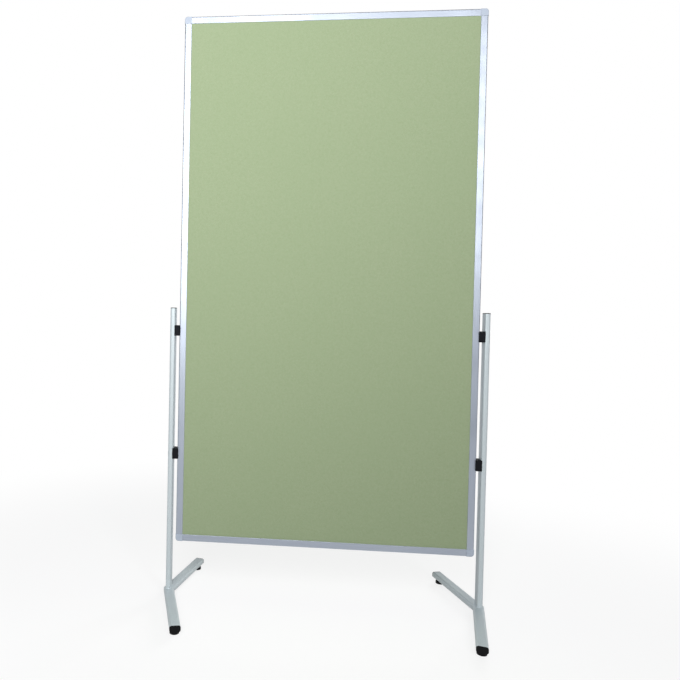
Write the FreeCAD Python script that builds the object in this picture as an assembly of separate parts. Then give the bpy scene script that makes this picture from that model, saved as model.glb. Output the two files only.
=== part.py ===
import FreeCAD, Part
import math
import os

# Free-standing room divider: a felt-covered board in an aluminium frame, carried between two
# tube uprights that each end in a V-shaped foot on two levelling glides.
# Millimetres. The origin is on the floor below the middle of the board, +X is to the right
# seen from the front, +Y to the rear and +Z up.

os.makedirs("parts", exist_ok=True)
Vector = FreeCAD.Vector

# Framed board
panel_width = 1000.0
panel_height = 1800.0
panel_floor_gap = 200.0  # clear height below the frame

# Extruded frame profile: a closed chamber along the outer edge and an open groove for the board
frame_face = 23.0  # width seen from the front
frame_depth = 22.0
frame_wall = 1.5
frame_chamber = 7.0  # clear width of the chamber
frame_edge_radius = 3.0  # outer edges
frame_lip_radius = 1.0  # rounded lips beside the felt

# Board in the groove
felt_thickness = 3.0
board_edge_play = 0.3  # room between the board's edge and the groove's floor
board_face_play = 0.1  # room between the felt and each lip

# Moulded corner connectors
corner_proud = 0.8  # step above the rails
corner_radius = 10.0
corner_edge_chamfer = 1.5
corner_spigot_length = 30.0
corner_spigot_wall = 2.0
corner_spigot_lead = 0.8  # chamfer that guides the spigot in
corner_spigot_play = 0.15

# Upright tubes
stand_gap = 14.0  # between the frame and each upright
upright_width = 18.0
upright_depth = 35.0
upright_radius = 6.0
upright_wall = 1.5
upright_top = 1005.0  # height above the floor

# Plugs pushed into open tube ends
plug_flange = 2.5
plug_spigot_length = 12.0
plug_spigot_wall = 2.0
plug_play = 0.15

# Spacer brackets between frame and uprights
bracket_height = 36.0
bracket_depth = 38.0
bracket_frame_lip = 3.0  # overlap on the frame's edge
bracket_upright_lip = 3.0  # overlap on the upright's edge
bracket_edge_chamfer = 1.5
bracket_play = 0.1
lower_bracket_level = 504.0  # middle of the bracket above the floor
upper_bracket_level = 929.0

# Bracket bolts, headed inside the upright and screwed into square nuts in the frame's chamber
bolt_radius = 3.0
bolt_hole_play = 0.3
bolt_head_radius = 5.5
bolt_head_height = 4.0
bolt_socket_width = 4.0  # hexagon socket, across flats
bolt_socket_depth = 2.4
bolt_tip = 1.2  # beyond the nut
nut_width = 10.0
nut_thickness = 4.0
nut_thread_play = 0.05

# Access holes for the bolt heads in the outer wall of the uprights, and their plugs
access_hole_radius = 6.5
access_plug_lip = 2.0  # overlap of the plug's flange around the hole
access_plug_flange = 1.2
access_plug_depth = 3.0
access_plug_play = 0.1

# V-shaped feet of two mitred tubes each
arm_width = 35.0
arm_height = 20.0
arm_radius = 7.0
arm_wall = 1.5
arm_length = 280.0  # along the middle line, from the mitre to the open end
arm_angle = 14.5  # degrees, from square to the board

# Levelling glides: a hexagon rivet nut in the arm, a threaded stud with a hexagon, and a
# swivelling pad
glide_inset = 22.0  # from the arm's open end
rivet_nut_width = 11.0  # across flats
rivet_nut_lip = 2.0  # overlap of the flange beyond the flats
rivet_nut_flange = 1.0
rivet_nut_length = 12.0
rivet_nut_play = 0.1
stud_radius = 4.0
stud_thread_play = 0.08
stud_reach = 14.0  # above the underside of the arm, screwed fully in
stud_stop_gap = 0.2  # between the hexagon and the rivet nut, screwed fully in
hexagon_width = 13.0  # across flats
hexagon_height = 2.5
stud_foot_lip = 2.0  # step of the stud's round foot beyond its shank
stud_foot_thickness = 3.0
socket_play = 0.1  # around the stud's foot
socket_end_play = 0.2  # above and below it
pad_mouth_play = 0.3
pad_top_gap = 0.3  # between the pad and the hexagon
pad_radius = 15.0
pad_height = 9.0
pad_floor = 2.0  # below the socket

# Overrun of every cut past the face it opens
overrun = 1.0
# An edge lies on a face when it reaches this share of the way there
near_share = 0.98

# Places worked out from the sizes above
origin = Vector(0, 0, 0)
x_axis = Vector(1, 0, 0)
y_axis = Vector(0, 1, 0)
z_axis = Vector(0, 0, 1)
panel_edge = panel_width / 2
panel_bottom = panel_floor_gap
panel_top = panel_bottom + panel_height
groove_floor = frame_wall + frame_chamber + frame_wall
groove_width = frame_depth - 2 * frame_wall
upright_inner_face = panel_edge + stand_gap
upright_middle = upright_inner_face + upright_width / 2
upright_outer_face = upright_inner_face + upright_width
bracket_levels = (lower_bracket_level, upper_bracket_level)
hexagon_bottom = pad_height + pad_top_gap
hexagon_top = hexagon_bottom + hexagon_height
foot_clearance = hexagon_top + stud_stop_gap + rivet_nut_flange
arm_top = foot_clearance + arm_height


def export(node, *solids):
    """Write one piece, or a group of like pieces, as a STEP file of its own."""
    shape = solids[0] if len(solids) == 1 else Part.makeCompound(list(solids))
    shape.exportStep(os.path.join("parts", node + ".step"))


def outline(points, radii):
    """Closed wire through corner points, each corner rounded by its own radius."""
    runs = []
    arcs = []
    for index, corner in enumerate(points):
        to_last = (points[index - 1] - corner).normalize()
        to_next = (points[(index + 1) % len(points)] - corner).normalize()
        radius = radii[index]
        half_turn = to_last.getAngle(to_next) / 2
        inset = radius / math.tan(half_turn)
        enter = corner + to_last * inset
        leave = corner + to_next * inset
        bisector = (to_last + to_next).normalize()
        middle = corner + bisector * (radius / math.sin(half_turn) - radius)
        runs.append((enter, leave))
        arcs.append(Part.Arc(enter, middle, leave).toShape() if radius else None)
    edges = []
    for index, (enter, leave) in enumerate(runs):
        if arcs[index]:
            edges.append(arcs[index])
        edges.append(Part.makeLine(leave, runs[(index + 1) % len(runs)][0]))
    return Part.Wire(edges)


def rounded_rectangle(width, depth, radius):
    """Wire in the XY plane, centred on the origin."""
    points = [
        Vector(-width / 2, -depth / 2, 0),
        Vector(width / 2, -depth / 2, 0),
        Vector(width / 2, depth / 2, 0),
        Vector(-width / 2, depth / 2, 0),
    ]
    return outline(points, [radius] * len(points))


def cut_rectangle(width, depth, cut):
    """Wire in the XY plane, centred on the origin, its corners cut off straight."""
    x = width / 2
    y = depth / 2
    upper = [(x, y - cut), (x - cut, y), (cut - x, y), (-x, y - cut)]
    points = [Vector(px, py, 0) for px, py in upper]
    points += [Vector(-px, -py, 0) for px, py in upper]
    return Part.makePolygon(points + points[:1])


def hexagon(width):
    """Wire in the XY plane, its width measured across the flats."""
    radius = width / math.sqrt(3)
    sixth = math.pi / 3
    points = [Vector(math.cos(n * sixth), math.sin(n * sixth), 0) * radius for n in range(6)]
    return Part.makePolygon(points + points[:1])


def bar(wire, length):
    """Solid bar of the wire's section, from its plane up along Z."""
    return Part.Face(wire).extrude(z_axis * length)


def tube(width, depth, radius, wall, length):
    """Rounded rectangular tube along Z."""
    bore = rounded_rectangle(width - 2 * wall, depth - 2 * wall, radius - wall)
    return bar(rounded_rectangle(width, depth, radius), length).cut(bar(bore, length))


def block(low, high):
    """Box between two opposite corners."""
    size = high - low
    return Part.makeBox(size.x, size.y, size.z, low)


def rod(radius, start, direction, length):
    """Round bar from a point along a direction."""
    return Part.makeCylinder(radius, length, start, direction)


def set_at(shape, place, along_x, along_y):
    """Copy of a shape whose own X and Y axes point along the given directions."""
    turn = FreeCAD.Rotation(along_x, along_y, along_x.cross(along_y), "XYZ")
    placed = shape.copy()
    placed.Placement = FreeCAD.Placement(place, turn).multiply(placed.Placement)
    return placed


def edges_where(shape, test):
    """Edges whose middle point passes a test."""
    return [edge for edge in shape.Edges if test(edge.CenterOfMass)]


def to_left(shape):
    """Left-hand piece from the right-hand one."""
    return shape.mirror(origin, x_axis)


def to_front(shape):
    """Front piece from the rear one."""
    return shape.mirror(origin, y_axis)


def to_upper(shape):
    """Piece at the top of the frame from the one at the bottom."""
    return shape.mirror(Vector(0, 0, (panel_bottom + panel_top) / 2), z_axis)


def on_both_sides(shape):
    """A right-hand shape and its left-hand counterpart, by the name of the side."""
    return {"right": shape, "left": to_left(shape)}


def on_all_feet(shape):
    """A rear right shape and its counterparts on the other foot ends, by the name of the end."""
    ends = {}
    for side, copy in on_both_sides(shape).items():
        ends[side + "_rear"] = copy
        ends[side + "_front"] = to_front(copy)
    return ends


# Frame rails and stiles: one extruded profile, cut square between the corner connectors, with a
# clearance hole in the outer wall of the stiles for each bracket bolt
def frame_member(length):
    """Length of the profile along Z, its outer edge at X zero and its groove facing +X."""
    half = frame_depth / 2
    groove = groove_width / 2
    skin = [
        Vector(0, -half, 0),
        Vector(frame_face, -half, 0),
        Vector(frame_face, -groove, 0),
        Vector(groove_floor, -groove, 0),
        Vector(groove_floor, groove, 0),
        Vector(frame_face, groove, 0),
        Vector(frame_face, half, 0),
        Vector(0, half, 0),
    ]
    radii = [frame_edge_radius, frame_lip_radius, 0, 0, 0, 0, frame_lip_radius, frame_edge_radius]
    chamber = block(
        Vector(frame_wall, -groove, 0),
        Vector(frame_wall + frame_chamber, groove, length),
    )
    return bar(outline(skin, radii), length).cut(chamber)


rail_length = panel_width - 2 * frame_face
rail = frame_member(rail_length)
bottom_rail = set_at(rail, Vector(rail_length / 2, 0, panel_bottom), z_axis, y_axis)
export("bottom_rail", bottom_rail)
export("top_rail", to_upper(bottom_rail))

stile = frame_member(panel_height - 2 * frame_face)
right_stile = set_at(stile, Vector(panel_edge, 0, panel_bottom + frame_face), -x_axis, -y_axis)
for level in bracket_levels:
    chamber_side = Vector(panel_edge - frame_wall - frame_chamber / 2, 0, level)
    hole_length = frame_wall + frame_chamber / 2 + overrun
    hole = rod(bolt_radius + bolt_hole_play, chamber_side, x_axis, hole_length)
    right_stile = right_stile.cut(hole)
for side, shape in on_both_sides(right_stile).items():
    export(side + "_stile", shape)

# Board: a light core with a felt layer on either face, held in the grooves all round
board_inset = groove_floor + board_edge_play
board_low = Vector(-panel_edge + board_inset, 0, panel_bottom + board_inset)
board_high = Vector(panel_edge - board_inset, 0, panel_top - board_inset)
felt_face = groove_width / 2 - board_face_play
felt_back = felt_face - felt_thickness
export("core_board", block(board_low - y_axis * felt_back, board_high + y_axis * felt_back))
export("front_felt", block(board_low - y_axis * felt_face, board_high - y_axis * felt_back))
export("rear_felt", block(board_low + y_axis * felt_back, board_high + y_axis * felt_face))


# Corner connectors: moulded blocks that step slightly proud of the rails, hollowed for the corner
# of the board, with a hollow spigot for the chamber of each rail that meets there
def spigot():
    """Hollow spigot up along Z from the origin, chamfered at its tip."""
    half_width = frame_chamber / 2 - corner_spigot_play
    half_depth = groove_width / 2 - corner_spigot_play
    body = block(
        Vector(-half_width, -half_depth, 0),
        Vector(half_width, half_depth, corner_spigot_length),
    )
    tip = edges_where(body, lambda middle: middle.z > corner_spigot_length * near_share)
    body = body.makeChamfer(corner_spigot_lead, tip)
    core_half_width = half_width - corner_spigot_wall
    core_half_depth = half_depth - corner_spigot_wall
    core = block(
        Vector(-core_half_width, -core_half_depth, 0),
        Vector(core_half_width, core_half_depth, corner_spigot_length + overrun),
    )
    return body.cut(core)


def corner_connector():
    """Lower left connector, the frame's corner at the origin, inward along X and Z."""
    half_depth = frame_depth / 2 + corner_proud
    points = [
        Vector(-corner_proud, -half_depth, -corner_proud),
        Vector(frame_face, -half_depth, -corner_proud),
        Vector(frame_face, -half_depth, frame_face),
        Vector(-corner_proud, -half_depth, frame_face),
    ]
    face = Part.Face(outline(points, [corner_radius, 0, 0, 0]))
    shell = face.extrude(y_axis * (2 * half_depth))

    def on_outer_rim(middle):
        on_face = abs(middle.y) > half_depth * near_share
        return on_face and max(middle.x, middle.z) < frame_face * near_share

    shell = shell.makeChamfer(corner_edge_chamfer, edges_where(shell, on_outer_rim))
    pocket = block(
        Vector(groove_floor, -groove_width / 2, groove_floor),
        Vector(frame_face + overrun, groove_width / 2, frame_face + overrun),
    )
    chamber_middle = frame_wall + frame_chamber / 2
    upward = set_at(spigot(), Vector(chamber_middle, 0, frame_face), x_axis, y_axis)
    sideways = set_at(spigot(), Vector(frame_face, 0, chamber_middle), -z_axis, y_axis)
    return shell.cut(pocket).fuse([upward, sideways]).removeSplitter()


lower_left_corner = corner_connector()
lower_left_corner.translate(Vector(-panel_edge, 0, panel_bottom))
lower_right_corner = to_left(lower_left_corner)
export("lower_left_corner", lower_left_corner)
export("lower_right_corner", lower_right_corner)
export("upper_left_corner", to_upper(lower_left_corner))
export("upper_right_corner", to_upper(lower_right_corner))

# Uprights: tubes that stand on the mitre of the two foot arms, with a bolt hole in the inner wall
# and an access hole in the outer wall at each bracket
right_upright = tube(upright_width, upright_depth, upright_radius, upright_wall, upright_top - arm_top)
right_upright.translate(Vector(upright_middle, 0, arm_top))
for level in bracket_levels:
    middle = Vector(upright_middle, 0, level)
    bolt_hole = rod(bolt_radius + bolt_hole_play, middle, -x_axis, upright_width)
    access_hole = rod(access_hole_radius, middle, x_axis, upright_width)
    right_upright = right_upright.cut([bolt_hole, access_hole])
for side, shape in on_both_sides(right_upright).items():
    export(side + "_upright", shape)


# Tube plugs: a flange over the end of the tube and a hollow spigot that grips the flat sides of
# its bore
def tube_plug(width, depth, radius, wall):
    """Plug for a tube that ends at the XY plane, its flange above and its spigot below."""
    flange = bar(rounded_rectangle(width, depth, radius), plug_flange)
    inset = wall + plug_play
    core_inset = inset + plug_spigot_wall
    ring = bar(cut_rectangle(width - 2 * inset, depth - 2 * inset, radius - inset), plug_spigot_length)
    core = block(
        Vector(core_inset - width / 2, core_inset - depth / 2, 0),
        Vector(width / 2 - core_inset, depth / 2 - core_inset, plug_spigot_length),
    )
    ring = ring.cut(core)
    ring.translate(z_axis * -plug_spigot_length)
    return flange.fuse(ring).removeSplitter()


upright_plug = tube_plug(upright_width, upright_depth, upright_radius, upright_wall)
upright_plug.translate(Vector(upright_middle, 0, upright_top))
for side, shape in on_both_sides(upright_plug).items():
    export(side + "_upright_plug", shape)


# Brackets: moulded spacers, channelled over the frame's edge and saddled on the upright
def bracket(level):
    """Right-hand bracket with its bolt hole at a height above the floor."""
    bottom = level - bracket_height / 2
    body = block(
        Vector(panel_edge - bracket_frame_lip, -bracket_depth / 2, bottom),
        Vector(upright_inner_face + bracket_upright_lip, bracket_depth / 2, bottom + bracket_height),
    )
    body = body.makeChamfer(bracket_edge_chamfer, body.Edges)
    half_channel = frame_depth / 2 + bracket_play
    channel = block(
        Vector(panel_edge - frame_face, -half_channel, bottom),
        Vector(panel_edge + bracket_play, half_channel, bottom + bracket_height),
    )
    saddle_outline = rounded_rectangle(
        upright_width + 2 * bracket_play,
        upright_depth + 2 * bracket_play,
        upright_radius + bracket_play,
    )
    saddle = bar(saddle_outline, bracket_height)
    saddle.translate(Vector(upright_middle, 0, bottom))
    hole = rod(bolt_radius + bolt_hole_play, Vector(panel_edge, 0, level), x_axis, stand_gap)
    return body.cut([channel, saddle, hole])


for height, level in zip(("lower", "upper"), bracket_levels):
    for side, shape in on_both_sides(bracket(level)).items():
        export(f"{side}_{height}_bracket", shape)


# Bracket bolts, their square nuts, and the plugs that close the access holes
def bracket_bolt(level):
    """Right-hand bolt, its head on the inside of the upright's inner wall."""
    seat = Vector(upright_inner_face + upright_wall, 0, level)
    head = rod(bolt_head_radius, seat, x_axis, bolt_head_height)
    socket = bar(hexagon(bolt_socket_width), bolt_socket_depth)
    socket = set_at(socket, seat + x_axis * (bolt_head_height - bolt_socket_depth), y_axis, z_axis)
    reach = upright_wall + stand_gap + frame_wall + nut_thickness + bolt_tip
    return head.cut(socket).fuse(rod(bolt_radius, seat, -x_axis, reach)).removeSplitter()


def bracket_nut(level):
    """Right-hand square nut against the inside of the frame's outer wall."""
    seat = panel_edge - frame_wall
    body = block(
        Vector(seat - nut_thickness, -nut_width / 2, level - nut_width / 2),
        Vector(seat, nut_width / 2, level + nut_width / 2),
    )
    return body.cut(rod(bolt_radius + nut_thread_play, Vector(seat, 0, level), -x_axis, nut_thickness))


def access_plug(level):
    """Right-hand plug in the upright's outer wall."""
    seat = Vector(upright_outer_face, 0, level)
    flange = rod(access_hole_radius + access_plug_lip, seat, x_axis, access_plug_flange)
    stem = rod(access_hole_radius - access_plug_play, seat, -x_axis, access_plug_depth)
    return flange.fuse(stem).removeSplitter()


def all_four(make):
    """One piece at each bracket of either side."""
    return [shape for level in bracket_levels for shape in on_both_sides(make(level)).values()]


export("bracket_bolts", *all_four(bracket_bolt))
export("bracket_nuts", *all_four(bracket_nut))
export("access_plugs", *all_four(access_plug))

# Foot arms: tubes mitred against each other under the upright, open at the far end, with a
# hexagon hole in the underside for the rivet nut
swing = math.radians(arm_angle)
arm_along = Vector(-math.sin(swing), math.cos(swing), 0)
arm_across = z_axis.cross(arm_along)
mitre = Vector(upright_middle, 0, foot_clearance + arm_height / 2)
arm_end = mitre + arm_along * arm_length
glide_axis = Vector(mitre.x, mitre.y, 0) + arm_along * (arm_length - glide_inset)
mitre_overlap = arm_width / 2 * math.tan(swing) + overrun
rear_arm = tube(arm_width, arm_height, arm_radius, arm_wall, arm_length + mitre_overlap)
rear_arm = set_at(rear_arm, mitre - arm_along * mitre_overlap, arm_across, z_axis)
behind_mitre = block(
    Vector(mitre.x - arm_length, 0, 0),
    Vector(mitre.x + arm_length, arm_length + mitre_overlap, arm_top + overrun),
)
rivet_hole = bar(hexagon(rivet_nut_width + 2 * rivet_nut_play), foot_clearance + arm_height / 2)
rivet_hole.translate(glide_axis)
rear_arm = rear_arm.common(behind_mitre).cut(rivet_hole)
for end, shape in on_all_feet(rear_arm).items():
    export(end + "_arm", shape)

end_cap = set_at(tube_plug(arm_width, arm_height, arm_radius, arm_wall), arm_end, arm_across, z_axis)
for end, shape in on_all_feet(end_cap).items():
    export(end + "_end_cap", shape)

# Levelling glides, screwed fully in: the hexagon of the stud is just short of the rivet nut
nut_foot = glide_axis + z_axis * (foot_clearance - rivet_nut_flange)
rivet_nut = bar(hexagon(rivet_nut_width), rivet_nut_length)
rivet_nut.translate(nut_foot)
flange = rod(rivet_nut_width / 2 + rivet_nut_lip, nut_foot, z_axis, rivet_nut_flange)
thread = rod(stud_radius + stud_thread_play, nut_foot, z_axis, rivet_nut_length)
rivet_nut = rivet_nut.fuse(flange).removeSplitter().cut(thread)
export("glide_nuts", *on_all_feet(rivet_nut).values())

stud_foot_radius = stud_radius + stud_foot_lip
socket_top = pad_floor + stud_foot_thickness + 2 * socket_end_play
foot_bottom = pad_floor + socket_end_play
shank = rod(stud_radius, z_axis * foot_bottom, z_axis, foot_clearance + stud_reach - foot_bottom)
collar = bar(hexagon(hexagon_width), hexagon_height)
collar.translate(z_axis * hexagon_bottom)
foot_disc = rod(stud_foot_radius, z_axis * foot_bottom, z_axis, stud_foot_thickness)
stud = shank.fuse([collar, foot_disc]).removeSplitter()
stud.translate(glide_axis)

mouth_radius = stud_radius + pad_mouth_play
socket_radius = stud_foot_radius + socket_play
pad_section = [
    Vector(0, 0, 0),
    Vector(pad_radius, 0, 0),
    Vector(pad_radius, 0, pad_height),
    Vector(mouth_radius, 0, pad_height),
    Vector(mouth_radius, 0, socket_top),
    Vector(socket_radius, 0, socket_top),
    Vector(socket_radius, 0, pad_floor),
    Vector(0, 0, pad_floor),
]
pad = Part.Face(Part.makePolygon(pad_section + pad_section[:1])).revolve(origin, z_axis, 360)
pad.translate(glide_axis)
for end, shape in on_all_feet(pad).items():
    export(end + "_glide_pad", shape)
for end, shape in on_all_feet(stud).items():
    export(end + "_glide_stud", shape)
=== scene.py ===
import math

import bpy
from mathutils import Matrix, Vector


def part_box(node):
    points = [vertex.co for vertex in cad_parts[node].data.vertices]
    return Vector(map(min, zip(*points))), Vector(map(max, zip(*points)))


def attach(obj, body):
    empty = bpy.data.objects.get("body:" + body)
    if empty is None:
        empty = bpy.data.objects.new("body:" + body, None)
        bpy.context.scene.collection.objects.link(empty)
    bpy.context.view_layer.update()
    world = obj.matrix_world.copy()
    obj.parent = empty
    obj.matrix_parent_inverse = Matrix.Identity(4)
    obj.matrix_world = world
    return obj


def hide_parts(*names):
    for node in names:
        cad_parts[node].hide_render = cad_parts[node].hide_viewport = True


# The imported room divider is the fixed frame. Every piece below sits where its solid is, in metres,
# and what is worked out in millimetres is turned to metres with mm.
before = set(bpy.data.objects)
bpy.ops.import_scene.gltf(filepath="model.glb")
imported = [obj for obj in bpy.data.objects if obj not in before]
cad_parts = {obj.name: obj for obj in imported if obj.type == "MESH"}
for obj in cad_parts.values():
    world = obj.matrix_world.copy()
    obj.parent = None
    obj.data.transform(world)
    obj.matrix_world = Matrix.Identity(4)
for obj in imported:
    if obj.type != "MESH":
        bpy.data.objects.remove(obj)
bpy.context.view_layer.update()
mm = 0.001

# Frame: four lengths of one extruded aluminium profile, sawn square and pushed onto the corner
# connectors. Natural satin anodising gives a pale silver with a slight blue cast, and the fine
# lines of the extrusion die still show along each length.
rail_nodes = ("top_rail", "bottom_rail")
stile_nodes = ("left_stile", "right_stile")


def linear(hex_colour):
    """Linear RGBA of an sRGB hex colour."""
    shares = [int(hex_colour[at:at + 2], 16) / 255 for at in (1, 3, 5)]
    return [s / 12.92 if s <= 0.04045 else ((s + 0.055) / 1.055) ** 2.4 for s in shares] + [1.0]


def add_node(tree, kind, inputs, **settings):
    """One shader node with its settings. Each input is a value or the socket that feeds it."""
    made = tree.nodes.new("ShaderNode" + kind)
    for name, value in settings.items():
        setattr(made, name, value)
    for name, value in inputs.items():
        if isinstance(value, bpy.types.NodeSocket):
            tree.links.new(value, made.inputs[name])
        else:
            made.inputs[name].default_value = value
    return made


def new_material(name):
    """An empty material, its node tree and the piece's own coordinates in metres."""
    material = bpy.data.materials.new(name)
    material.use_nodes = True
    tree = material.node_tree
    tree.nodes.clear()
    return material, tree, add_node(tree, "TexCoord", {}).outputs["Object"]


def dress(node, material):
    """Put one material on a solid in place of the one that it was packed with."""
    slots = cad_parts[node].data.materials
    slots.clear()
    slots.append(material)


def anodised_aluminium(name, along):
    """Satin silver. The die lines run along one axis and catch the light as faint streaks."""
    line_spacing = 0.9  # mm, drawn coarser than the real lines so that they show
    line_length = 180.0
    cloud_size = 90.0
    material, tree, place = new_material(name)
    line_scale = [1 / (line_spacing * mm)] * 3
    line_scale["XYZ".index(along)] = 1 / (line_length * mm)
    stretched = add_node(tree, "Mapping", {"Vector": place, "Scale": line_scale})
    lines = add_node(
        tree, "TexNoise", {"Vector": stretched.outputs["Vector"], "Scale": 1.0, "Detail": 3.0}
    ).outputs[0]
    clouds = add_node(
        tree, "TexNoise", {"Vector": place, "Scale": 1 / (cloud_size * mm), "Detail": 4.0}
    ).outputs[0]
    colour = add_node(
        tree, "MixRGB", {"Fac": lines, "Color1": linear("#9DA5B3"), "Color2": linear("#B3BAC5")}
    )
    roughness = add_node(
        tree,
        "MapRange",
        {"Value": clouds, "From Min": 0.3, "From Max": 0.7, "To Min": 0.38, "To Max": 0.48},
    )
    bump = add_node(tree, "Bump", {"Strength": 0.25, "Distance": 0.02 * mm, "Height": lines})
    shader = add_node(
        tree,
        "BsdfPrincipled",
        {
            "Base Color": colour.outputs["Color"],
            "Metallic": 1.0,
            "Roughness": roughness.outputs["Result"],
            "Normal": bump.outputs["Normal"],
        },
    )
    add_node(tree, "OutputMaterial", {"Surface": shader.outputs["BSDF"]})
    return material


rail_finish = anodised_aluminium("aluminium_anodised_satin_rail", "X")
stile_finish = anodised_aluminium("aluminium_anodised_satin_stile", "Z")
for node in rail_nodes:
    dress(node, rail_finish)
for node in stile_nodes:
    dress(node, stile_finish)

# Corner connectors: light grey nylon mouldings, a little proud of the rails, with spigots pushed
# into the chambers of the two lengths that meet there. The spark-eroded mould leaves a fine
# matt grain, and the edges are rounded as moulded edges are.
corner_nodes = [f"{level}_{side}_corner" for level in ("lower", "upper") for side in ("left", "right")]
corner_edge_radius = 0.9
edge_segments = 3  # in each rounded edge
edge_angle = math.radians(35)  # from which an edge is sharp enough to be rounded
same_point = 0.001  # mm, within which points of a solid are one


def moulded_plastic(name, dark, light, roughness_range, index, shine):
    """Moulded plastic. A fine grain breaks up the highlight and a faint cloud shifts its colour."""
    grain_size = 0.7  # mm, drawn coarser than the real grain so that it shows
    cloud_size = 14.0
    material, tree, place = new_material(name)
    grain = add_node(
        tree, "TexNoise", {"Vector": place, "Scale": 1 / (grain_size * mm), "Detail": 2.0}
    ).outputs[0]
    clouds = add_node(
        tree, "TexNoise", {"Vector": place, "Scale": 1 / (cloud_size * mm), "Detail": 4.0}
    ).outputs[0]
    colour = add_node(
        tree, "MixRGB", {"Fac": clouds, "Color1": linear(dark), "Color2": linear(light)}
    )
    smooth, rough = roughness_range
    roughness = add_node(
        tree,
        "MapRange",
        {"Value": grain, "From Min": 0.3, "From Max": 0.7, "To Min": smooth, "To Max": rough},
    )
    bump = add_node(tree, "Bump", {"Strength": 0.2, "Distance": 0.04 * mm, "Height": grain})
    shader = add_node(
        tree,
        "BsdfPrincipled",
        {
            "Base Color": colour.outputs["Color"],
            "Roughness": roughness.outputs["Result"],
            "IOR": index,
            "Specular IOR Level": shine,
            "Normal": bump.outputs["Normal"],
        },
    )
    add_node(tree, "OutputMaterial", {"Surface": shader.outputs["BSDF"]})
    return material


def round_edges(node, radius):
    """Round the sharp edges of a solid by modifiers, with its mesh left as it is."""
    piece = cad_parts[node]
    weld = piece.modifiers.new("closed_skin", "WELD")
    weld.merge_threshold = same_point * mm
    bevel = piece.modifiers.new("moulded_edges", "BEVEL")
    bevel.width = radius * mm
    bevel.segments = edge_segments
    bevel.limit_method = "ANGLE"
    bevel.angle_limit = edge_angle
    piece.modifiers.new("even_shading", "WEIGHTED_NORMAL")


grey_nylon = moulded_plastic(
    "nylon_moulded_light_grey", "#B4BFCF", "#C4CEDC", (0.42, 0.55), 1.53, 0.25
)
for node in corner_nodes:
    dress(node, grey_nylon)
    round_edges(node, corner_edge_radius)

# Core board: a light fibreboard panel in the grooves of the frame, with felt glued to both faces.
# Its pressed wood fibres are dull brown, and only its cut edges would ever show.
core_fibre_length = 4.0
core_fibre_width = 0.8

fibreboard, tree, place = new_material("fibreboard_pressed_raw")
fibre_scale = [1 / (core_fibre_length * mm), 1 / (core_fibre_width * mm), 1 / (core_fibre_width * mm)]
fibre_place = add_node(tree, "Mapping", {"Vector": place, "Scale": fibre_scale}).outputs["Vector"]
fibres = add_node(tree, "TexNoise", {"Vector": fibre_place, "Scale": 1.0, "Detail": 4.0}).outputs[0]
colour = add_node(
    tree, "MixRGB", {"Fac": fibres, "Color1": linear("#7A6650"), "Color2": linear("#B49C7E")}
)
bump = add_node(tree, "Bump", {"Strength": 0.4, "Distance": 0.1 * mm, "Height": fibres})
shader = add_node(
    tree,
    "BsdfPrincipled",
    {
        "Base Color": colour.outputs["Color"],
        "Roughness": 0.85,
        "Normal": bump.outputs["Normal"],
    },
)
add_node(tree, "OutputMaterial", {"Surface": shader.outputs["BSDF"]})
dress("core_board", fibreboard)

# Felt: a needle-punched sheet on each face of the board, cut to the board's size and glued down.
# The lips of the frame press its edge thin, and it swells out softly between them. Short fibres
# of several greens lie in every direction, so the surface is matt, mottled and faintly hairy.
felt_swell = 0.8  # mm, beyond the pressed edge
felt_roll = 12.0  # mm, over which it swells
felt_lip = (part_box("left_stile")[1].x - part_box("front_felt")[0].x) / mm  # edge under the frame's lip
felt_steps = (0, 0.5, 1, 1.6, 2.4, 3.5, 5, 7, 9.5, 12)  # mm from the lip, close where it curves
felt_rows = 24  # even steps over the rest of the width and height
felt_crease = math.radians(40)  # from which an edge of the sheet is shaded as a corner


def felt_lines(low, high):
    """Places of the grid lines over one side of the sheet."""
    inner = [low + (felt_lip + step) * mm for step in felt_steps]
    outer = [low + high - place for place in reversed(inner)]
    step = (outer[0] - inner[-1]) / felt_rows
    middle = [inner[-1] + step * row for row in range(1, felt_rows)]
    return [low] + inner + middle + outer + [high]


def felt_sheet(name, node, facing):
    """Closed sheet of felt, flat at the back and softly swollen in front, facing along Y."""
    low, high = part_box(node)
    front, back = (low.y, high.y) if facing < 0 else (high.y, low.y)
    columns = felt_lines(low.x, high.x)
    rows = felt_lines(low.z, high.z)
    lip = felt_lip * mm
    points = []
    for z in rows:
        for x in columns:
            inside = min(x - low.x, high.x - x, z - low.z, high.z - z) - lip
            share = min(max(inside / (felt_roll * mm), 0.0), 1.0)
            rise = felt_swell * mm * share * (2 - share)
            points.append((x, front + facing * rise, z))
    count = len(points)
    points += [(x, back, z) for z in rows for x in columns]
    wide = len(columns)
    faces = []
    for row in range(len(rows) - 1):
        for column in range(wide - 1):
            first = row * wide + column
            quad = [first, first + 1, first + wide + 1, first + wide]
            faces.append(quad if facing < 0 else quad[::-1])
            behind = [count + corner for corner in quad]
            faces.append(behind[::-1] if facing < 0 else behind)
    rim = list(range(wide))
    rim += [row * wide + wide - 1 for row in range(1, len(rows))]
    rim += [(len(rows) - 1) * wide + column for column in range(wide - 2, -1, -1)]
    rim += [row * wide for row in range(len(rows) - 2, 0, -1)]
    for here, after in zip(rim, rim[1:] + rim[:1]):
        side = [here, count + here, count + after, after]
        faces.append(side if facing < 0 else side[::-1])
    mesh = bpy.data.meshes.new(name)
    mesh.from_pydata(points, [], faces)
    mesh.shade_smooth()
    mesh.set_sharp_from_angle(angle=felt_crease)
    piece = bpy.data.objects.new(name, mesh)
    bpy.context.scene.collection.objects.link(piece)
    return piece


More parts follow.
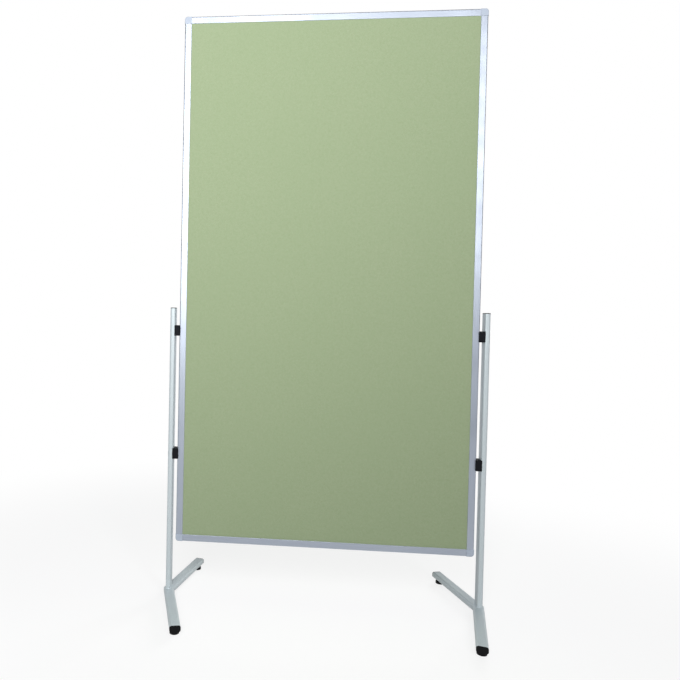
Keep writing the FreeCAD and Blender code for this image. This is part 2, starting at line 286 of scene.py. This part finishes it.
def needle_felt():
    """Sage felt. Crossing fibres show close up, and soft mottling and unevenness from a step away."""
    fibre_width = 0.45  # mm, drawn thicker than a real fibre so that it shows
    fibre_length = 6.0
    fibre_turns = (12, 74, 131)  # degrees in the plane of the board
    mottle_size = 9.0
    uneven_size = 260.0
    material, tree, place = new_material("felt_needled_sage")
    layers = []
    for turn in fibre_turns:
        turned = add_node(
            tree,
            "Mapping",
            {"Vector": place, "Rotation": (0.0, math.radians(turn), 0.0)},
        )
        fibre_scale = (1 / (fibre_length * mm), 1 / (fibre_width * mm), 1 / (fibre_width * mm))
        drawn = add_node(
            tree, "Mapping", {"Vector": turned.outputs["Vector"], "Scale": fibre_scale}
        )
        layers.append(
            add_node(
                tree,
                "TexNoise",
                {"Vector": drawn.outputs["Vector"], "Scale": 1.0, "Detail": 2.0, "Distortion": 0.8},
            ).outputs[0]
        )
    upper = add_node(tree, "Math", {0: layers[0], 1: layers[1]}, operation="MAXIMUM").outputs[0]
    fibres = add_node(tree, "Math", {0: upper, 1: layers[2]}, operation="MAXIMUM").outputs[0]
    mottle = add_node(
        tree, "TexNoise", {"Vector": place, "Scale": 1 / (mottle_size * mm), "Detail": 5.0}
    ).outputs[0]
    uneven = add_node(
        tree, "TexNoise", {"Vector": place, "Scale": 1 / (uneven_size * mm), "Detail": 3.0}
    ).outputs[0]
    fibre_share = add_node(
        tree, "MapRange", {"Value": fibres, "From Min": 0.5, "From Max": 0.75}
    ).outputs["Result"]
    fibre_colour = add_node(
        tree,
        "MixRGB",
        {"Fac": fibre_share, "Color1": linear("#98A883"), "Color2": linear("#AFBF9C")},
    ).outputs["Color"]
    mottle_share = add_node(
        tree,
        "MapRange",
        {"Value": mottle, "From Min": 0.35, "From Max": 0.65, "To Min": 0.0, "To Max": 0.3},
    ).outputs["Result"]
    mottled = add_node(
        tree,
        "MixRGB",
        {"Fac": mottle_share, "Color1": fibre_colour, "Color2": linear("#AEB797")},
    ).outputs["Color"]
    uneven_share = add_node(
        tree,
        "MapRange",
        {"Value": uneven, "From Min": 0.35, "From Max": 0.65, "To Min": 0.0, "To Max": 0.25},
    ).outputs["Result"]
    colour = add_node(
        tree,
        "MixRGB",
        {"Fac": uneven_share, "Color1": mottled, "Color2": linear("#9EB08A")},
    ).outputs["Color"]
    bump = add_node(tree, "Bump", {"Strength": 0.5, "Distance": 0.25 * mm, "Height": fibres})
    shader = add_node(
        tree,
        "BsdfPrincipled",
        {
            "Base Color": colour,
            "Roughness": 0.95,
            "Specular IOR Level": 0.2,
            "Sheen Weight": 0.15,
            "Sheen Roughness": 0.6,
            "Sheen Tint": linear("#C6D2B4"),
            "Normal": bump.outputs["Normal"],
        },
    )
    add_node(tree, "OutputMaterial", {"Surface": shader.outputs["BSDF"]})
    return material


felt = needle_felt()
for name, node, facing in (("felt_front", "front_felt", -1), ("felt_rear", "rear_felt", 1)):
    sheet = felt_sheet(name, node, facing)
    sheet.data.materials.append(felt)
    low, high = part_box(node)
    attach(sheet, "screen")
    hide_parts(node)

# Uprights: two rounded rectangular steel tubes beside the frame, welded to the feet below.
# Silver powder coating covers them evenly. It has a slight orange peel, and fine aluminium flakes
# in it give a soft metallic glow rather than a mirror.
upright_nodes = ("left_upright", "right_upright")


def powder_coated_steel(name):
    """Silver powder coat. Orange peel softens its highlights and flakes glitter faintly close up."""
    flake_size = 0.5  # mm, drawn larger than a real flake so that it shows
    peel_size = 2.2
    material, tree, place = new_material(name)
    flakes = add_node(
        tree, "TexVoronoi", {"Vector": place, "Scale": 1 / (flake_size * mm)}
    ).outputs["Color"]
    flake = add_node(tree, "SeparateColor", {"Color": flakes}).outputs["Red"]
    peel = add_node(
        tree, "TexNoise", {"Vector": place, "Scale": 1 / (peel_size * mm), "Detail": 1.0}
    ).outputs[0]
    colour = add_node(
        tree, "MixRGB", {"Fac": flake, "Color1": linear("#C4CFD3"), "Color2": linear("#DAE4E7")}
    )
    roughness = add_node(
        tree, "MapRange", {"Value": flake, "To Min": 0.38, "To Max": 0.5}
    )
    bump = add_node(tree, "Bump", {"Strength": 0.15, "Distance": 0.05 * mm, "Height": peel})
    shader = add_node(
        tree,
        "BsdfPrincipled",
        {
            "Base Color": colour.outputs["Color"],
            "Metallic": 0.2,
            "Roughness": roughness.outputs["Result"],
            "Normal": bump.outputs["Normal"],
        },
    )
    add_node(tree, "OutputMaterial", {"Surface": shader.outputs["BSDF"]})
    return material


silver_coat = powder_coated_steel("steel_powder_coated_silver")
for node in upright_nodes:
    dress(node, silver_coat)

# Upright plugs: black polyethylene caps pushed into the open tops of the tubes. Their moulded
# edges are slightly rounded and their surface is satin.
plug_nodes = ("left_upright_plug", "right_upright_plug")
plug_edge_radius = 0.7

black_plastic = moulded_plastic(
    "polyethylene_moulded_black", "#060708", "#0E0F11", (0.42, 0.58), 1.51, 0.14
)
for node in plug_nodes:
    dress(node, black_plastic)
    round_edges(node, plug_edge_radius)

# Brackets: black nylon spacers, two on each side. Each sits in a shallow channel over the edge of
# the frame and in a saddle on the upright, and is clamped between them by its bolt.
bracket_nodes = [f"{side}_{level}_bracket" for side in ("left", "right") for level in ("lower", "upper")]
bracket_edge_radius = 0.6

black_nylon = moulded_plastic(
    "nylon_moulded_black", "#07080C", "#0E1017", (0.45, 0.6), 1.53, 0.14
)
for node in bracket_nodes:
    dress(node, black_nylon)
    round_edges(node, bracket_edge_radius)

# Bracket bolts and square nuts: zinc-plated steel, out of sight inside the uprights and the
# chamber of the frame. Plating gives a bright bluish grey that is a little cloudy.


def zinc_plated_steel(name, dark, light):
    """Electroplated zinc. Small cloudy patches change both its grey and its shine."""
    cloud_size = 3.0
    material, tree, place = new_material(name)
    clouds = add_node(
        tree, "TexNoise", {"Vector": place, "Scale": 1 / (cloud_size * mm), "Detail": 5.0}
    ).outputs[0]
    colour = add_node(
        tree, "MixRGB", {"Fac": clouds, "Color1": linear(dark), "Color2": linear(light)}
    )
    roughness = add_node(
        tree,
        "MapRange",
        {"Value": clouds, "From Min": 0.3, "From Max": 0.7, "To Min": 0.25, "To Max": 0.45},
    )
    shader = add_node(
        tree,
        "BsdfPrincipled",
        {
            "Base Color": colour.outputs["Color"],
            "Metallic": 1.0,
            "Roughness": roughness.outputs["Result"],
        },
    )
    add_node(tree, "OutputMaterial", {"Surface": shader.outputs["BSDF"]})
    return material


bright_zinc = zinc_plated_steel("steel_zinc_plated_bright", "#9EA5AE", "#C2C8CF")
for node in ("bracket_bolts", "bracket_nuts"):
    dress(node, bright_zinc)

# Access plugs: small grey nylon buttons that close the holes through which the bolts are turned,
# on the outer sides of the uprights.
access_plug_edge_radius = 0.4

dress("access_plugs", grey_nylon)
round_edges("access_plugs", access_plug_edge_radius)

# Foot arms: rounded rectangular steel tubes, mitred against each other below each upright. A bead
# of weld runs round the foot of the upright and over the mitre, and the silver powder coat covers
# tubes and welds alike.
foot_ends = [f"{side}_{end}" for side in ("left", "right") for end in ("front", "rear")]
upright_radius = 6.0
arm_width = 35.0
arm_radius = 7.0
arm_swing = math.radians(14.5)  # of each arm from square to the board
foot_bead = 2.0
foot_bead_steps = 8  # round each corner of the upright
mitre_bead = 1.6
mitre_bead_end = 0.32  # where it runs out at the sides
mitre_bead_rise = 0.4  # above the tubes
mitre_start = math.radians(33)  # up from the sides, where the bead begins and ends
mitre_steps = 17
bead_sides = 10


def bead(name, path, radii, closed):
    """A round bead along a path of points in millimetres, with a radius at each of them."""
    points = []
    count = len(path)
    for at, (middle, radius) in enumerate(zip(path, radii)):
        before = path[at - 1] if closed or at else middle
        after = path[(at + 1) % count] if closed or at + 1 < count else middle
        along = (after - before).normalized()
        side = along.cross(Vector((0, 0, 1))).normalized()
        up = side.cross(along)
        for step in range(bead_sides):
            turn = 2 * math.pi * step / bead_sides
            points.append((middle + (side * math.cos(turn) + up * math.sin(turn)) * radius) * mm)
    faces = []
    for at in range(count if closed else count - 1):
        for step in range(bead_sides):
            near, far = at * bead_sides, (at + 1) % count * bead_sides
            after = (step + 1) % bead_sides
            faces.append((near + step, near + after, far + after, far + step))
    if not closed:
        faces.append(tuple(range(bead_sides))[::-1])
        faces.append(tuple(range((count - 1) * bead_sides, count * bead_sides)))
    mesh = bpy.data.meshes.new(name)
    mesh.from_pydata(points, [], faces)
    mesh.shade_smooth()
    piece = bpy.data.objects.new(name, mesh)
    bpy.context.scene.collection.objects.link(piece)
    mesh.materials.append(silver_coat)
    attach(piece, "screen")


for end in foot_ends:
    dress(end + "_arm", silver_coat)
for side in ("left", "right"):
    low, high = (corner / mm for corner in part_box(side + "_upright"))
    middle = (low + high) / 2
    half = (high - low) / 2 - Vector((upright_radius, upright_radius, 0))
    loop = []
    for quarter, (right, back) in enumerate(((1, 1), (-1, 1), (-1, -1), (1, -1))):
        for step in range(foot_bead_steps + 1):
            turn = math.radians(90) * (quarter + step / foot_bead_steps)
            corner = Vector((middle.x + right * half.x, middle.y + back * half.y, low.z))
            loop.append(corner + Vector((math.cos(turn), math.sin(turn), 0)) * upright_radius)
    bead(side + "_foot_weld", loop, [foot_bead] * len(loop), True)
    widen = 1 / math.cos(arm_swing)
    seam = []
    for step in range(mitre_steps + 1):
        turn = mitre_start + (math.pi - 2 * mitre_start) * step / mitre_steps
        across = math.copysign(arm_width / 2 - arm_radius, math.cos(turn)) + math.cos(turn) * arm_radius
        rise = math.sin(turn) * arm_radius - arm_radius - mitre_bead + mitre_bead_rise
        seam.append(Vector((middle.x + across * widen, middle.y, low.z + rise)))
    thickness = [mitre_bead] * len(seam)
    thickness[0] = thickness[-1] = mitre_bead_end
    bead(side + "_mitre_weld", seam, thickness, False)

# End caps: black polyethylene plugs pushed into the open ends of the arms, with a flange that covers
# the end of the tube. Their moulded edges are slightly rounded.
cap_edge_radius = 0.8
for end in foot_ends:
    dress(end + "_end_cap", black_plastic)
    round_edges(end + "_end_cap", cap_edge_radius)

# Levelling glides: a rivet nut in each arm, a black-passivated steel stud with a hexagon to turn
# it by and an M8 thread, and a turned black foot pad that swivels on the round foot of the stud.
# The thread, the chamfered hexagon and the pad's rounded edges take the place of the plain solids.
thread_pitch = 1.25
thread_radius = 4.0
thread_depth = 0.6
thread_steps = 8  # rings in each turn of the thread
thread_end = 0.9  # chamfer at its tip
hexagon_width = 13.0
hexagon_chamfer = 0.35
hexagon_chamfer_share = 1.04  # radius that the chamfer leaves, to half the width across the flats
hexagon_bottom = 9.3
hexagon_top = 11.8
foot_radius = 6.0
foot_bottom = 2.2
foot_top = 5.2
pad_radius = 15.0
pad_height = 9.0
pad_rounding = 1.8
pad_foot_rounding = 0.7
pad_socket = (6.1, 2.0, 5.4)  # radius, bottom and top of the space for the stud's foot
pad_mouth = 4.3
rounding_steps = 6  # in a quarter turn
turned_sides = 60
turned_crease = math.radians(28)  # from which an edge is shaded as a corner


def turned(name, node, slot, material, rings):
    """A closed piece of rings round the upright axis of a solid, which it stands in for.

    Each ring gives, for a turn in radians, the radius and height there in millimetres."""
    low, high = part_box(node)
    axis = (low + high) / 2
    points = []
    for ring in rings:
        for step in range(turned_sides):
            turn = 2 * math.pi * step / turned_sides
            radius, height = ring(turn)
            x = axis.x + math.cos(turn) * radius * mm
            y = axis.y + math.sin(turn) * radius * mm
            points.append((x, y, height * mm))
    faces = []
    for at in range(len(rings) - 1):
        for step in range(turned_sides):
            after = (step + 1) % turned_sides
            near, far = at * turned_sides, (at + 1) * turned_sides
            faces.append((near + step, near + after, far + after, far + step))
    faces.append(tuple(range(turned_sides))[::-1])
    faces.append(tuple(range((len(rings) - 1) * turned_sides, len(rings) * turned_sides)))
    mesh = bpy.data.meshes.new(name)
    mesh.from_pydata(points, [], faces)
    mesh.shade_smooth()
    mesh.set_sharp_from_angle(angle=turned_crease)
    piece = bpy.data.objects.new(name, mesh)
    bpy.context.scene.collection.objects.link(piece)
    mesh.materials.append(material)
    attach(piece, node)
    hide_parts(node)


def round_ring(radius, height):
    """The same radius and height all round."""
    return lambda turn: (radius, height)


def hexagon_ring(height, chamfered):
    """A hexagon's outline, with its corners cut back where it is chamfered."""
    flat = hexagon_width / 2

    def ring(turn):
        radius = flat / math.cos((turn + math.pi / 6) % (math.pi / 3) - math.pi / 6)
        return (min(radius, flat * hexagon_chamfer_share) if chamfered else radius, height)

    return ring


def thread_ring(height):
    """A turn of the thread's ridge and groove, which climbs with the turn."""

    def ring(turn):
        phase = (height / thread_pitch - turn / (2 * math.pi)) % 1.0
        groove = thread_depth * (1 - abs(2 * phase - 1))
        return (thread_radius - groove, height)

    return ring


black_zinc = zinc_plated_steel("steel_zinc_plated_black", "#26282B", "#3C3F43")
dress("glide_nuts", bright_zinc)
for end in foot_ends:
    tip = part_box(end + "_glide_stud")[1].z / mm
    thread_rings = round((tip - thread_end - hexagon_top) / thread_pitch * thread_steps)
    rings = [
        round_ring(foot_radius, foot_bottom),
        round_ring(foot_radius, foot_top),
        round_ring(thread_radius, foot_top),
        round_ring(thread_radius, hexagon_bottom),
        hexagon_ring(hexagon_bottom, True),
        hexagon_ring(hexagon_bottom + hexagon_chamfer, False),
        hexagon_ring(hexagon_top - hexagon_chamfer, False),
        hexagon_ring(hexagon_top, True),
    ]
    for step in range(thread_rings + 1):
        rings.append(thread_ring(hexagon_top + step * thread_pitch / thread_steps))
    rings.append(round_ring(thread_radius - thread_end, tip))
    turned(end + "_stud_threaded", end + "_glide_stud", "zinc_steel", black_zinc, rings)
    socket_radius, socket_bottom, socket_top = pad_socket
    quarter_turn = [math.radians(90) * step / rounding_steps for step in range(rounding_steps + 1)]
    rings = []
    for turn in quarter_turn:
        inset = pad_foot_rounding * (1 - math.sin(turn))
        rings.append(round_ring(pad_radius - inset, pad_foot_rounding * (1 - math.cos(turn))))
    for turn in quarter_turn:
        inset = pad_rounding * (1 - math.cos(turn))
        rings.append(round_ring(pad_radius - inset, pad_height - pad_rounding * (1 - math.sin(turn))))
    rings += [
        round_ring(pad_mouth, pad_height),
        round_ring(pad_mouth, socket_top),
        round_ring(socket_radius, socket_top),
        round_ring(socket_radius, socket_bottom),
    ]
    turned(end + "_pad_turned", end + "_glide_pad", "black_plastic", black_plastic, rings)

# Studio: a pale floor that takes the shadow and turns to white in the distance, a white surround,
# two soft lamps high in front, the larger one on the left, and one behind. A grey ceiling and grey
# walls in front and at the sides, hidden from the camera, give the metal something darker to mirror.
floor_half = 14.0  # m
floor_fade = (1.0, 2.4)  # m from the middle, over which the floor turns to white
floor_glow = 0.77  # share of white that the backdrop adds to the lit floor
room_half = 5.0  # m, to each side
room_front = -5.0  # m along Y
room_open = 1.5  # where the side walls end
room_back = 8.0  # where the ceiling ends
room_height = 4.2


def stage_plane(name, corners):
    """One flat piece of the studio, which isn't part of the object."""
    mesh = bpy.data.meshes.new(name)
    mesh.from_pydata(corners, [], [(0, 1, 2, 3)])
    plane = bpy.data.objects.new(name, mesh)
    bpy.context.scene.collection.objects.link(plane)
    return plane


def background_rays(tree):
    """1 for what the camera sees, directly or in metal and glass, and 0 for light on surfaces."""
    path = add_node(tree, "LightPath", {}).outputs
    seen = add_node(
        tree, "Math", {0: path["Is Camera Ray"], 1: path["Is Glossy Ray"]}, operation="MAXIMUM"
    ).outputs[0]
    return add_node(
        tree, "Math", {0: seen, 1: path["Is Transmission Ray"]}, operation="MAXIMUM"
    ).outputs[0]


floor = stage_plane(
    "floor",
    [
        (-floor_half, -floor_half, 0.0),
        (floor_half, -floor_half, 0.0),
        (floor_half, floor_half, 0.0),
        (-floor_half, floor_half, 0.0),
    ],
)
floor_paint, tree, place = new_material("floor_paint_matt_pale")
seen = background_rays(tree)
lit = add_node(tree, "BsdfDiffuse", {"Color": linear("#8E8E8E")})
glow_strength = add_node(tree, "Math", {0: seen, 1: floor_glow}, operation="MULTIPLY").outputs[0]
glow = add_node(tree, "Emission", {"Color": linear("#FFFFFF"), "Strength": glow_strength})
near_floor = add_node(tree, "AddShader", {0: lit.outputs["BSDF"], 1: glow.outputs["Emission"]})
white = add_node(tree, "Emission", {"Color": linear("#FFFFFF"), "Strength": 1.0})
away = add_node(tree, "VectorMath", {0: place}, operation="LENGTH").outputs["Value"]
near, far = floor_fade
faded = add_node(
    tree,
    "MapRange",
    {"Value": away, "From Min": near, "From Max": far},
    interpolation_type="SMOOTHSTEP",
).outputs["Result"]
share = add_node(tree, "Math", {0: faded, 1: seen}, operation="MULTIPLY").outputs[0]
surface = add_node(
    tree, "MixShader", {0: share, 1: near_floor.outputs["Shader"], 2: white.outputs["Emission"]}
)
add_node(tree, "OutputMaterial", {"Surface": surface.outputs["Shader"]})
floor.data.materials.append(floor_paint)

left, right, front, back, top = -room_half, room_half, room_front, room_back, room_height
room_planes = {
    "studio_wall": (
        "#636569",
        [(left, front, 0), (left, front, top), (right, front, top), (right, front, 0)],
    ),
    "studio_ceiling": (
        "#636569",
        [(left, front, top), (left, back, top), (right, back, top), (right, front, top)],
    ),
    "studio_left": (
        "#707276",
        [(left, front, 0), (left, room_open, 0), (left, room_open, top), (left, front, top)],
    ),
    "studio_right": (
        "#5A5C60",
        [(right, front, 0), (right, front, top), (right, room_open, top), (right, room_open, 0)],
    ),
}
for name, (colour, corners) in room_planes.items():
    plane = stage_plane(name, corners)
    plane.visible_camera = False
    paint, tree = new_material(name + "_paint_grey")[:2]
    evenly_lit = add_node(tree, "Emission", {"Color": linear(colour), "Strength": 1.0})
    add_node(tree, "OutputMaterial", {"Surface": evenly_lit.outputs["Emission"]})
    plane.data.materials.append(paint)

world = bpy.data.worlds.new("white_surround")
world.use_nodes = True
bpy.context.scene.world = world
tree = world.node_tree
tree.nodes.clear()
fill_strength = 0.42
fill = add_node(tree, "Background", {"Color": linear("#FFFFFF"), "Strength": fill_strength})
backdrop = add_node(tree, "Background", {"Color": linear("#FFFFFF"), "Strength": 1.0})
surround = add_node(
    tree,
    "MixShader",
    {
        0: background_rays(tree),
        1: fill.outputs["Background"],
        2: backdrop.outputs["Background"],
    },
)
add_node(tree, "OutputWorld", {"Surface": surround.outputs["Shader"]})

hidden_lamp = "rear_softbox"  # not mirrored, where it would leave a streak along the arms
softboxes = {  # place, what it is aimed at, width and height in metres, and power in watts
    "key_softbox": ((-0.55, -3.0, 2.25), (-2.9, 0.0, 2.3), (1.5, 2.5), 122.0),
    "side_softbox": ((1.25, -3.0, 2.4), (2.2, 0.0, 2.6), (0.9, 1.9), 46.0),
    "rear_softbox": ((2.0, 3.6, 1.5), (0.0, 0.0, 1.1), (1.6, 1.6), 90.0),
}
for name, (place, aim, (width, height), power) in softboxes.items():
    lamp = bpy.data.lights.new(name, "AREA")
    lamp.shape = "RECTANGLE"
    lamp.size = width
    lamp.size_y = height
    lamp.energy = power
    holder = bpy.data.objects.new(name, lamp)
    holder.location = place
    holder.rotation_euler = (Vector(aim) - Vector(place)).to_track_quat("-Z", "Y").to_euler()
    holder.visible_camera = False
    holder.visible_glossy = name != hidden_lamp
    bpy.context.scene.collection.objects.link(holder)

# Camera: in front and left of the middle, at about half the height of the screen. The picture is
# square, and its width is the sensor's.
camera_place = (-0.139, -2.123, 0.963)
camera_turn = math.radians(5.56)  # to the left
camera_dip = math.radians(1.08)  # downward
camera_roll = math.radians(1.13)
camera_sensor = 36.0  # mm
camera_lens = 32.82  # mm
camera_shift = (0.17, -0.01)  # shares of the picture's width
camera_data = bpy.data.cameras.new("camera")
camera_data.sensor_width = camera_sensor
camera_data.lens = camera_lens
camera_data.shift_x, camera_data.shift_y = camera_shift
camera = bpy.data.objects.new("camera", camera_data)
camera.matrix_world = (
    Matrix.Translation(camera_place)
    @ Matrix.Rotation(camera_turn, 4, "Z")
    @ Matrix.Rotation(math.radians(90) - camera_dip, 4, "X")
    @ Matrix.Rotation(camera_roll, 4, "Z")
)
bpy.context.scene.collection.objects.link(camera)
bpy.context.scene.camera = camera
bpy.context.scene.view_settings.view_transform = "Standard"
